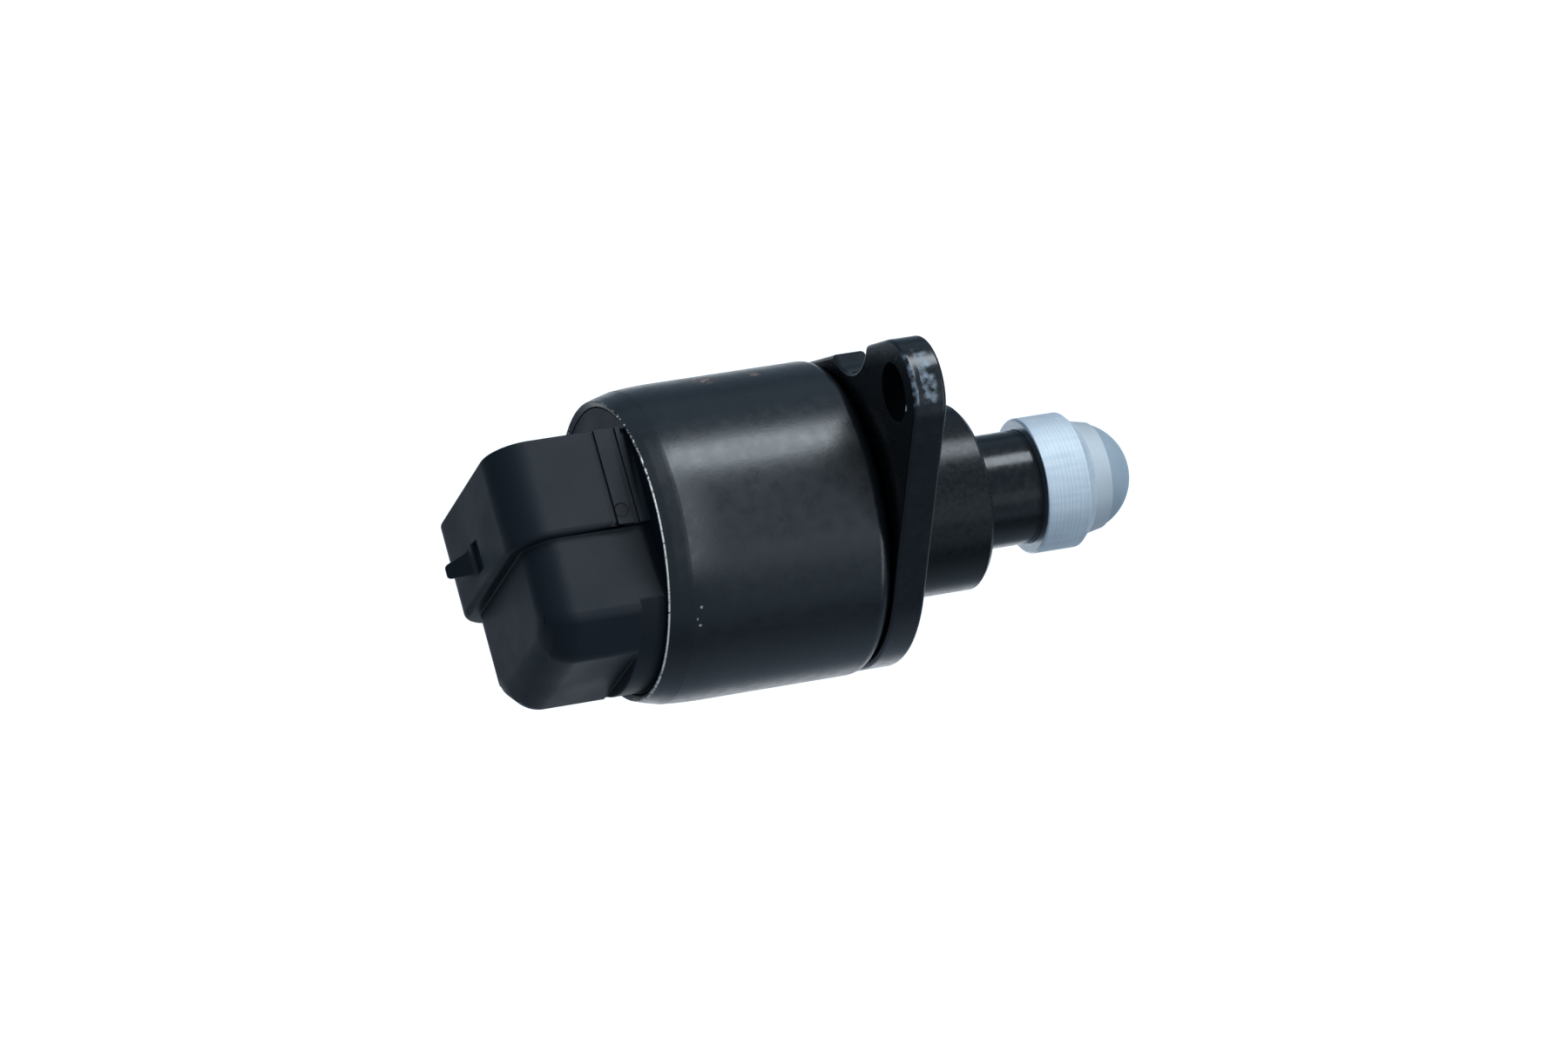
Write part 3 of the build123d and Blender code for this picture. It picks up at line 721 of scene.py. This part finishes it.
def edge_facts(mesh):
    """The middle of each edge in mm, the angle between its two faces, and whether it is convex.

    The angle is the arc cosine of the dot product of the faces' normals. The edge is convex where
    the cross product of the normals runs the way that the first face goes round its corners.
    """
    ends = values_of(mesh.edges, "vertices", 2, int)
    tips = values_of(mesh.vertices, "co", 3)[ends]
    sides = values_of(mesh.polygons, "loop_total", kind=int)
    face_of_loop = np.repeat(np.arange(len(sides)), sides)
    # In a closed solid every edge has two faces, so sorting the loops by edge puts them in pairs
    pairs = np.argsort(values_of(mesh.loops, "edge_index", kind=int), kind="stable").reshape(-1, 2)
    normals = values_of(mesh.polygons, "normal", 3)
    first, second = normals[face_of_loop[pairs]].transpose(1, 0, 2)
    angles = np.arccos(np.clip((first * second).sum(axis=1), -1, 1))
    starts = values_of(mesh.loops, "vertex_index", kind=int)[pairs[:, 0]]
    ways = (tips[:, 1] - tips[:, 0]) * np.where(starts == ends[:, 0], 1, -1)[:, None]
    convex = (np.cross(first, second) * ways).sum(axis=1) > 0
    return tips.mean(axis=1) / MM, angles, convex


for solid_name in ("mounting_flange", "connector_housing"):
    print(solid_name, "has", len(frame["nodes"][solid_name].data.polygons), "triangles to merge")

# %% Softened copies
MERGE_MM = 0.0005
FLAT_ANGLE = np.radians(0.5)
EDGE_ANGLE = np.radians(25)
ROUND_STEPS = 4


def softened_copy(name, node, rounding_at):
    """A merged copy of a CAD node, with its sharp edges rounded.

    The rounding in mm is rounding_at(middles of the edges in mm, whether each is convex), and an
    edge's weight is its share of the widest rounding.
    """
    solid = bmesh.new()
    solid.from_mesh(frame["nodes"][node].data)
    bmesh.ops.remove_doubles(solid, verts=solid.verts, dist=MERGE_MM * MM)
    bmesh.ops.dissolve_limit(solid, angle_limit=FLAT_ANGLE, verts=solid.verts, edges=solid.edges)
    mesh = bpy.data.meshes.new(name)
    solid.to_mesh(mesh)
    solid.free()

    middles, angles, convex = edge_facts(mesh)
    rounds = np.where(angles > EDGE_ANGLE, rounding_at(middles, convex), 0)
    widest = rounds.max()
    weights = mesh.attributes.new("bevel_weight_edge", "FLOAT", "EDGE")
    weights.data.foreach_set("value", rounds / widest)
    mesh.polygons.foreach_set("use_smooth", np.ones(len(mesh.polygons), bool))
    mesh.edges.foreach_set("use_edge_sharp", (angles > EDGE_ANGLE) & (rounds == 0))

    piece = bpy.data.objects.new(name, mesh)
    bpy.context.scene.collection.objects.link(piece)
    rounding = piece.modifiers.new("rounded edges", "BEVEL")
    rounding.width = widest * MM
    rounding.segments = ROUND_STEPS
    rounding.limit_method = "WEIGHT"
    rounding.use_clamp_overlap = False
    shading = piece.modifiers.new("flat faces stay flat", "WEIGHTED_NORMAL")
    shading.keep_sharp = True
    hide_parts(node)
    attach(piece, "housing")
    print(name, len(mesh.polygons), "faces,", np.count_nonzero(rounds), "rounded edges")
    return piece


print("edges sharper than", round(np.degrees(EDGE_ANGLE)), "degrees are rounded")

# %% [markdown]
# ## The flange
#
# The flange is cut from plate. The punch leaves its rim with a soft edge, and the holes, drilled
# later, have a sharper one. One bevel width would make both alike, so the width depends on how far an
# edge is from the holes and from the axis.

# %% The flange's surface
RIM_ROUND = 0.45
HOLE_ROUND = 0.15
BOLT_HOLE_R = 3.3
HOLE_SPACING = 55.0
HOLE_REACH = 0.5
MIDDLE_REACH = 2


def flange_rounding(middles, _):
    """Narrow at the bolt holes and round the middle, wide along the rim."""
    from_hole = np.hypot(middles[:, 1], np.abs(middles[:, 2]) - HOLE_SPACING / 2)
    from_axis = np.hypot(middles[:, 1], middles[:, 2])
    inner = (from_hole < BOLT_HOLE_R + HOLE_REACH) | (from_axis < can_r - MIDDLE_REACH)
    return np.where(inner, HOLE_ROUND, RIM_ROUND)


flange = softened_copy("stamped_flange", "mounting_flange", flange_rounding)

# %% [markdown]
# ## The flange's coat
#
# The flange has a thicker coat than the can, which is glossier and nearly black to the eye. A spanner
# or a vice has scuffed the rim of the near ear. A scuff could be painted on, but five limits on the
# place of a point are enough to fence it in.

# %% Gloss: where the scuff is
GLOSS_PEEL_MM = 0.5
WEAR_MM = 1.0
EAR_R = 5.9
# Each limit: where the scuff ends, and where it is full, in mm
SCUFF_RIM = (EAR_R - 0.45, EAR_R - 0.30)
SCUFF_TIP = (HOLE_SPACING / 2 + 2.5, HOLE_SPACING / 2 + 3.5)
SCUFF_LOW = (-4.3, -3.9)
SCUFF_HIGH = (2.2, 1.2)
SCUFF_FRONT = (-0.9, -1.4)

gloss, tree, place = blank_material("glossy_black_coat_on_plate")
axes = add_node(tree, "SeparateXYZ", {0: place}).node.outputs
peel, wear = [
    add_node(tree, "TexNoise", {"Vector": place, "Scale": scale_for(size), "Detail": detail})
    for size, detail in [(GLOSS_PEEL_MM, 3), (WEAR_MM, 4)]
]
outwards = add_node(tree, "Math", {0: axes["Z"]}, operation="ABSOLUTE")
flat = add_node(tree, "CombineXYZ", {1: axes["Y"], 2: outwards})
ear_middle = (0.0, 0.0, HOLE_SPACING / 2 * MM)
from_ear = add_node(tree, "VectorMath", {0: flat, 1: ear_middle}, "Value", operation="DISTANCE")
scuff = 1.0
for value, (none_at, full_at) in [
    (from_ear, SCUFF_RIM),
    (axes["Z"], SCUFF_TIP),
    (axes["Y"], SCUFF_LOW),
    (axes["Y"], SCUFF_HIGH),
    (axes["X"], SCUFF_FRONT),
]:
    within = add_node(tree, "MapRange", {
        "Value": value, "From Min": none_at * MM, "From Max": full_at * MM,
    })
    scuff = add_node(tree, "Math", {0: within, 1: scuff}, operation="MULTIPLY")
print("scuff on the rim of an ear of radius", EAR_R, "mm")

# %% [markdown]
# Inside the scuff the coat is gone in a thin band by the rear edge and in patches in front of it, with
# a dark line between. Both are noise above a threshold. The noise is raised a little behind the line,
# and lowered on the line itself.

# %% Gloss: how worn the scuff is
LINE_X = -3.05
# How far from the line the wear starts and is full, in mm, and what is added to the noise
LINE_NONE = 0.1
LINE_FULL = 0.3
LINE_LESS = -0.3
REAR_MORE = 0.02
FRONT_MORE = 0.3
WORN_FROM = 0.44
WORN_TO = 0.76

from_line = add_node(tree, "Math", {0: axes["X"], 1: LINE_X * MM}, operation="SUBTRACT")
behind = add_node(tree, "MapRange", {
    "Value": from_line, "From Min": -LINE_NONE * MM, "From Max": -LINE_FULL * MM,
    "To Min": LINE_LESS, "To Max": REAR_MORE,
})
in_front = add_node(tree, "MapRange", {
    "Value": from_line, "From Min": LINE_NONE * MM, "From Max": LINE_FULL * MM, "To Max": FRONT_MORE,
})
worn = add_node(tree, "Math", {0: behind, 1: in_front}, operation="ADD")
worn = add_node(tree, "Math", {0: worn, 1: wear}, operation="ADD")
worn = add_node(tree, "MapRange", {"Value": worn, "From Min": WORN_FROM, "From Max": WORN_TO})
worn = add_node(tree, "Math", {0: worn, 1: scuff}, operation="MULTIPLY")
print("scuff with a line at X", LINE_X, "mm")

# %% [markdown]
# The drilled holes have no coat. Their walls are drawn as a metal with an almost black colour, which
# mirrors next to nothing: a painted shade inside the holes. A near-white spot at the edge of the near
# hole is a painted glint.

# %% Gloss: the shader
# A painted glint: the near-white spot at the edge of the near hole, and its reach, in mm
HOLE_GLINT = (-3.95, -2.9, 29.1)
HOLE_GLINT_NONE = 0.5
HOLE_GLINT_FULL = 0.25
GLOSS_ROUGHNESS = (0.18, 0.30)
WORN_ROUGHER = 0.25
SHADED_BORE_ROUGHER = 0.45
GLOSS_RELIEF_MM = 0.003

from_glint = add_node(tree, "VectorMath", {
    0: place, 1: np.array(HOLE_GLINT) * MM,
}, "Value", operation="DISTANCE")
chip_and_glint = add_node(tree, "MapRange", {
    "Value": from_glint, "From Min": HOLE_GLINT_NONE * MM, "From Max": HOLE_GLINT_FULL * MM,
})
# Painted shade inside the bolt holes: their walls, by the distance from each ear's middle
shaded_bore = add_node(tree, "MapRange", {
    "Value": from_ear, "From Min": (BOLT_HOLE_R + HOLE_ROUND) * MM, "From Max": BOLT_HOLE_R * MM,
})
colour = linear("#050607")
# Grey where the scuff wears through, and near white at the painted glint by the hole
for mask, shade in [(worn, "#8c969f"), (chip_and_glint, "#f4f0ea")]:
    colour = add_node(tree, "Mix", {
        0: mask, MIX_A: colour, MIX_B: linear(shade),
    }, MIX_RESULT, data_type="RGBA")
rough = add_node(tree, "MapRange", {
    "Value": wear, "From Min": NOISE_LOW, "From Max": NOISE_HIGH,
    "To Min": GLOSS_ROUGHNESS[0], "To Max": GLOSS_ROUGHNESS[1],
})
for mask, rougher in [(worn, WORN_ROUGHER), (shaded_bore, SHADED_BORE_ROUGHER)]:
    rough = add_node(tree, "Math", {0: mask, 1: rougher, 2: rough}, operation="MULTIPLY_ADD")
relief = add_node(tree, "Bump", {"Height": peel, "Strength": 1.0, "Distance": GLOSS_RELIEF_MM * MM})
# The bore mask as metallic, with the near-black colour, paints the holes dark: a painted shade
skin = add_node(tree, "BsdfPrincipled", {
    "Base Color": colour, "Roughness": rough, "Metallic": shaded_bore, "Normal": relief,
})
add_node(tree, "OutputMaterial", {"Surface": skin})
flange.data.materials.append(gloss)
print(gloss.name, len(tree.nodes), "nodes")

# %% [markdown]
# ## The connector
#
# The connector is one moulding. Its shroud overhangs the lower body by a ledge with a full round, and
# the body's lower edges are blended. The grooves beside the can are crisp, because that part of the
# tool is a separate insert, and the latch tongue has a round tip for the plug to ride over. The
# moulding is turned a little about the valve's axis, so its edges are sorted in its own axes.

# %% The connector's own axes
CONNECTOR_TURN = np.radians(8)


def own_axes(points):
    """Points in the connector's own axes: the valve's, turned back about X by its turn."""
    back = np.array([
        [1, 0, 0],
        [0, np.cos(CONNECTOR_TURN), np.sin(CONNECTOR_TURN)],
        [0, -np.sin(CONNECTOR_TURN), np.cos(CONNECTOR_TURN)],
    ])
    return points @ back.T


print("the connector is turned by", round(np.degrees(CONNECTOR_TURN)), "degrees")

# %% [markdown]
# An edge is sorted by the place of its middle. Picking edges by hand would fail as soon as the solid
# changes, and a place in millimetres holds as long as the sizes do. The order of the kinds matters,
# because an edge of the latch's tip is also one of the latch.

# %% The connector's surface
SHROUD_BOTTOM = -1.7
SHROUD_TOP = 9.8
SHROUD_LENGTH = 16.0
SHROUD_WIDTH = 27.0
# How near an edge has to be to a face that it belongs to
TOP_REACH = 0.1
LEDGE_REACH = 0.05
DISC_REACH = 0.2
ROOT_LENGTH = 3.4
GROOVE_DEPTH = 0.4
GROOVE_LENGTH = 5
GROOVE_LIFT = 0.1
LATCH_LENGTH = 0.8
LATCH_LOW_Y = 0.2
LATCH_HIGH_Y = 4
LATCH_ROOT_Z = 1.6
LATCH_TIP_Z = -6.5
LATCH_TIP_BELOW = 0.2
LATCH_TIP_ABOVE = 0.1
SHARP = 0.0
LEDGE_ROUND = 0.7
BODY_ROUND = 0.8
INNER_ROUND = 0.2
SHROUD_ROUND = 0.3
GROOVE_ROUND = 0.06
SMALL_ROUND = 0.15
LATCH_ROUND = 0.25
LATCH_TIP_ROUND = 0.6

disc_rear = lip_x
shroud_end = disc_rear - SHROUD_LENGTH


def connector_rounding(middles, convex):
    """Wide on the ledge and the lower body, narrow in the grooves, small elsewhere."""
    x, y, z = own_axes(middles).T
    in_root = x > disc_rear - ROOT_LENGTH
    on_ledge = (np.abs(y - SHROUD_BOTTOM) < LEDGE_REACH) & ~in_root
    in_grooves = (
        (np.abs(z) > SHROUD_WIDTH / 2 - GROOVE_DEPTH)
        & (x > disc_rear - GROOVE_LENGTH)
        & (y > SHROUD_BOTTOM + GROOVE_LIFT)
    )
    on_latch = (
        (x < shroud_end + LATCH_LENGTH)
        & (y > LATCH_LOW_Y)
        & (y < LATCH_HIGH_Y)
        & (z > LATCH_TIP_Z - LATCH_TIP_BELOW)
        & (z < LATCH_ROOT_Z)
    )
    # The first of these that an edge belongs to gives its rounding
    kinds = [
        (x > disc_rear - DISC_REACH, SHARP),
        (in_grooves, GROOVE_ROUND),
        (on_latch & (z < LATCH_TIP_Z + LATCH_TIP_ABOVE), LATCH_TIP_ROUND),
        (on_latch, LATCH_ROUND),
        (on_ledge & convex, LEDGE_ROUND),
        (on_ledge, INNER_ROUND),
        (in_root, SMALL_ROUND),
        (y < SHROUD_BOTTOM, BODY_ROUND),
        (y > SHROUD_TOP - TOP_REACH, SHROUD_ROUND),
    ]
    return np.select([edges for edges, _ in kinds], [size for _, size in kinds], SMALL_ROUND)


connector = softened_copy("moulded_connector", "connector_housing", connector_rounding)

# %% [markdown]
# ## Glass-filled nylon
#
# Nylon with glass fibre comes out of the tool matt, with a fine grain where fibres lie in the skin,
# and slightly uneven where it flowed. The eye sees a dark blue-grey without a highlight. The pin that
# pushes the moulding out of its tool leaves a shallow round mark on the strip beside the can. It is
# a tenth of a millimetre deep, so a bump is enough for it, and it is drawn darker: a painted shade.

# %% Glass-filled nylon
# The real grain is about a quarter of this, and is drawn coarser so that it shows
GRAIN_MM = 0.16
FLOW_MM = 6.0
NYLON_ROUGHNESS = (0.46, 0.56)
NYLON_RELIEF_MM = 0.008
NYLON_SHINE = 0.25
EJECTOR_MARK = (-33.3, -1.85, 13.37)
EJECTOR_R = 0.8
EJECTOR_FADE = 0.08
# The mark's depth, in heights of the grain
EJECTOR_HEIGHT = -12.0

plastic, tree, place = blank_material("matt_glass_filled_nylon")
grain, flow = [
    add_node(tree, "TexNoise", {"Vector": place, "Scale": scale_for(size), "Detail": detail})
    for size, detail in [(GRAIN_MM, 2), (FLOW_MM, 3)]
]
ejector_and_shade = add_node(tree, "VectorMath", {
    0: place, 1: np.array(EJECTOR_MARK) * MM,
}, "Value", operation="DISTANCE")
ejector_and_shade = add_node(tree, "MapRange", {
    "Value": ejector_and_shade,
    "From Min": (EJECTOR_R + EJECTOR_FADE) * MM,
    "From Max": (EJECTOR_R - EJECTOR_FADE) * MM,
})
colour = add_node(tree, "Mix", {
    0: flow, MIX_A: linear("#0a0f14"), MIX_B: linear("#0f151c"),
}, MIX_RESULT, data_type="RGBA")
# The ejector mark drawn darker: a painted shade in its shallow recess
colour = add_node(tree, "Mix", {
    0: ejector_and_shade, MIX_A: colour, MIX_B: linear("#07090b"),
}, MIX_RESULT, data_type="RGBA")
rough = add_node(tree, "MapRange", {
    "Value": flow, "From Min": NOISE_LOW, "From Max": NOISE_HIGH,
    "To Min": NYLON_ROUGHNESS[0], "To Max": NYLON_ROUGHNESS[1],
})
height = add_node(tree, "Math", {0: ejector_and_shade, 1: EJECTOR_HEIGHT, 2: grain}, operation="MULTIPLY_ADD")
relief = add_node(tree, "Bump", {
    "Height": height, "Strength": 1.0, "Distance": NYLON_RELIEF_MM * MM,
})
skin = add_node(tree, "BsdfPrincipled", {
    "Base Color": colour, "Roughness": rough, "Normal": relief, "Specular IOR Level": NYLON_SHINE,
})
add_node(tree, "OutputMaterial", {"Surface": skin})
connector.data.materials.append(plastic)
print(plastic.name, len(tree.nodes), "nodes")

# %% [markdown]
# ## Plain finishes
#
# The spigot, the guide tube and everything inside keep their solids, whose edges hardly show. The
# spigot has the can's kind of coat, a little smoother, and the tube is polished, because it slides.
# Each finish differs only in a few numbers, so one function makes them all: two close colours, and a
# grain that also varies the roughness and raises the surface.

# %% A plain finish
FINISH_DETAIL = 4
ROUGH_LESS = 0.05
ROUGH_MORE = 0.07


def plain_finish(name, dark, light, grain_mm, rough, relief_mm, metallic, shine):
    """A finish of two close colours, mixed by a grain that also varies the roughness and the height."""
    material, tree, place = blank_material(name)
    grain = add_node(tree, "TexNoise", {
        "Vector": place, "Scale": scale_for(grain_mm), "Detail": FINISH_DETAIL,
    })
    colour = add_node(tree, "Mix", {
        0: grain, MIX_A: linear(dark), MIX_B: linear(light),
    }, MIX_RESULT, data_type="RGBA")
    spread = add_node(tree, "MapRange", {
        "Value": grain, "From Min": NOISE_LOW, "From Max": NOISE_HIGH,
        "To Min": rough - ROUGH_LESS, "To Max": rough + ROUGH_MORE,
    })
    relief = add_node(tree, "Bump", {"Height": grain, "Strength": 1.0, "Distance": relief_mm * MM})
    skin = add_node(tree, "BsdfPrincipled", {
        "Base Color": colour, "Roughness": spread, "Metallic": metallic, "Normal": relief,
        "Specular IOR Level": shine,
    })
    add_node(tree, "OutputMaterial", {"Surface": skin})
    return material


print("a plain finish varies its roughness by", round(ROUGH_LESS + ROUGH_MORE, 2))

# %% Plain finishes
# Each row: name, dark and light colour, grain in mm, roughness, relief in mm, metallic, shine. The
# grains of ferrite, bronze and wire are drawn coarser than the real ones, so that they show
FINISHES = {
    # Nearly black, with an even sheen
    "spigot_black": ("satin_black_coat_on_turned_steel", "#040506", "#07090b", 0.6, 0.26, 0.0015, 0, 0.3),
    # Black, with a narrow bright streak along it
    "tube_black": ("polished_black_moulding", "#040405", "#060708", 0.8, 0.19, 0.0025, 0, 0.4),
    # Grey, with a clean glint
    "screw_steel": ("rolled_steel_screw", "#8d9093", "#a4a7aa", 0.3, 0.3, 0.004, 1, 0.5),
    # Dark and dull, like slate
    "magnet_ferrite": ("sintered_ferrite", "#222324", "#333436", 0.2, 0.6, 0.02, 0, 0.5),
    # Warm grey and soft
    "rotor_plastic": ("moulded_hub_plastic", "#8d887c", "#9b968a", 1.0, 0.45, 0.01, 0, 0.5),
    # Milky and a little waxy
    "nut_plastic": ("moulded_acetal", "#cfccc2", "#dcd9cf", 1.0, 0.35, 0.006, 0, 0.5),
    # Speckled brown gold
    "bush_bronze": ("sintered_bronze", "#8a6a3c", "#a07e4a", 0.15, 0.45, 0.02, 1, 0.5),
    # Cool grey, faintly clouded
    "stator_steel": ("zinc_plated_sheet", "#8f9294", "#a6a9ab", 0.6, 0.38, 0.006, 1, 0.5),
    # Flat dark grey
    "bobbin_plastic": ("moulded_bobbin_plastic", "#17181a", "#202124", 0.5, 0.5, 0.01, 0, 0.5),
    # Deep red brown, glossy with enamel
    "coil_copper": ("enamelled_copper_winding", "#8a3f1e", "#a5512a", 0.2, 0.3, 0.03, 1, 0.5),
    # Pale silver
    "terminal_tinned": ("tinned_brass", "#b4b3ad", "#c6c5bf", 0.3, 0.28, 0.004, 1, 0.5),
}
finishes = {slot: plain_finish(*row) for slot, row in FINISHES.items()}
for row in frame["record"]["subparts"]:
    if row["material_slot"] in finishes:
        node_mesh = frame["nodes"][row["node"]].data
        node_mesh.materials.clear()
        node_mesh.materials.append(finishes[row["material_slot"]])
print(len(finishes), "plain finishes")
